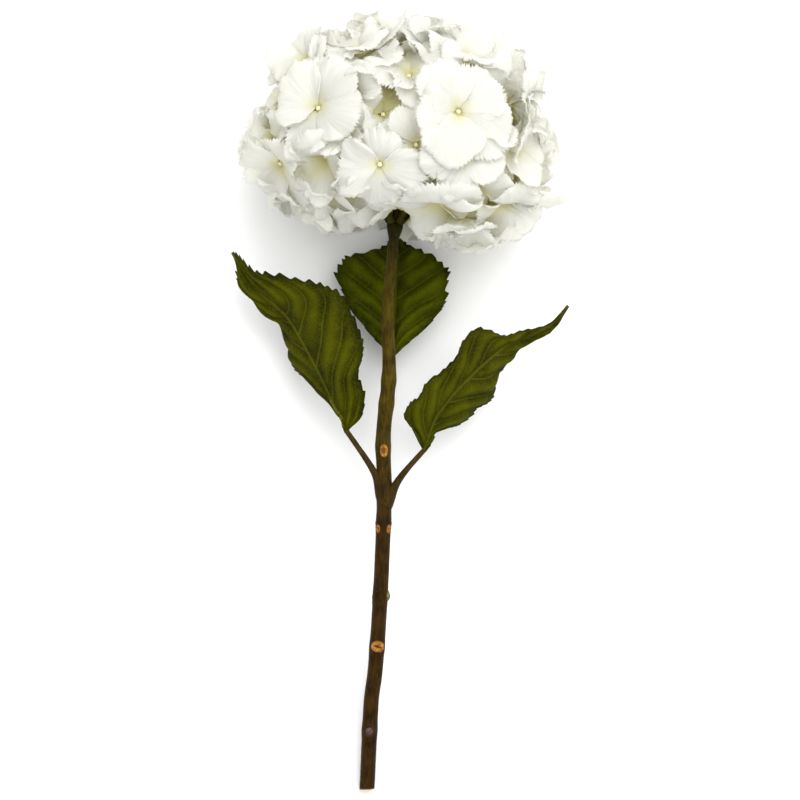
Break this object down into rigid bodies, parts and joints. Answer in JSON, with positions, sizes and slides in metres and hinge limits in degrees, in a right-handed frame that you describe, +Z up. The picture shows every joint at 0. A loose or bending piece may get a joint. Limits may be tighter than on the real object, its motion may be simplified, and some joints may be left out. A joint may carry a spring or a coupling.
{
  "type": "cut hydrangea",
  "caption": "Cut mophead hydrangea lying on its back: a woody stem with leaves and a round head of white toothed florets.",
  "frame": {"origin": "on the surface that the flower lies on, under the middle of its overall box", "axes": "+Y from the cut end of the stem towards the head, +Z up away from the surface, +X to the right as seen from above with the head at the top"},
  "size_m": [0.2068, 0.4604, 0.1384],
  "materials": {
    "bark": "satin brown-green young bark",
    "petiole": "satin brown, greener towards the blade",
    "leaf": "matt dark olive green leaf with raised veins",
    "bud": "satin green-brown bud scales",
    "branch": "satin dark green-brown",
    "sepal": "matt white translucent petal, cream-yellow at the eye"
  },
  "bodies": {
    "root": {"stem": "bark", "petiole_left": "petiole", "leaf_left": "leaf", "petiole_right": "petiole", "leaf_right": "leaf", "petiole_back": "petiole", "leaf_back": "leaf", "bud_side": "bud", "bud_front": "bud", "branch_1": "branch", "branch_2": "branch", "branch_3": "branch", "branch_4": "branch", "branch_5": "branch", "branch_6": "branch", "floret_01": "sepal", "floret_02": "sepal", "floret_03": "sepal", "floret_04": "sepal", "floret_05": "sepal", "floret_06": "sepal", "floret_07": "sepal", "floret_08": "sepal", "floret_09": "sepal", "floret_10": "sepal", "floret_11": "sepal", "floret_12": "sepal", "floret_13": "sepal", "floret_14": "sepal", "floret_15": "sepal", "floret_16": "sepal", "floret_17": "sepal", "floret_18": "sepal", "floret_19": "sepal", "floret_20": "sepal", "floret_21": "sepal", "floret_22": "sepal", "floret_23": "sepal", "floret_24": "sepal", "floret_25": "sepal", "floret_26": "sepal", "floret_27": "sepal", "floret_28": "sepal", "floret_29": "sepal", "floret_30": "sepal", "floret_31": "sepal", "floret_32": "sepal", "floret_33": "sepal", "floret_34": "sepal", "floret_35": "sepal", "floret_36": "sepal", "floret_37": "sepal", "floret_38": "sepal", "floret_39": "sepal", "floret_40": "sepal", "floret_41": "sepal", "floret_42": "sepal", "floret_43": "sepal", "floret_44": "sepal", "floret_45": "sepal"}
  },
  "joints": []
}
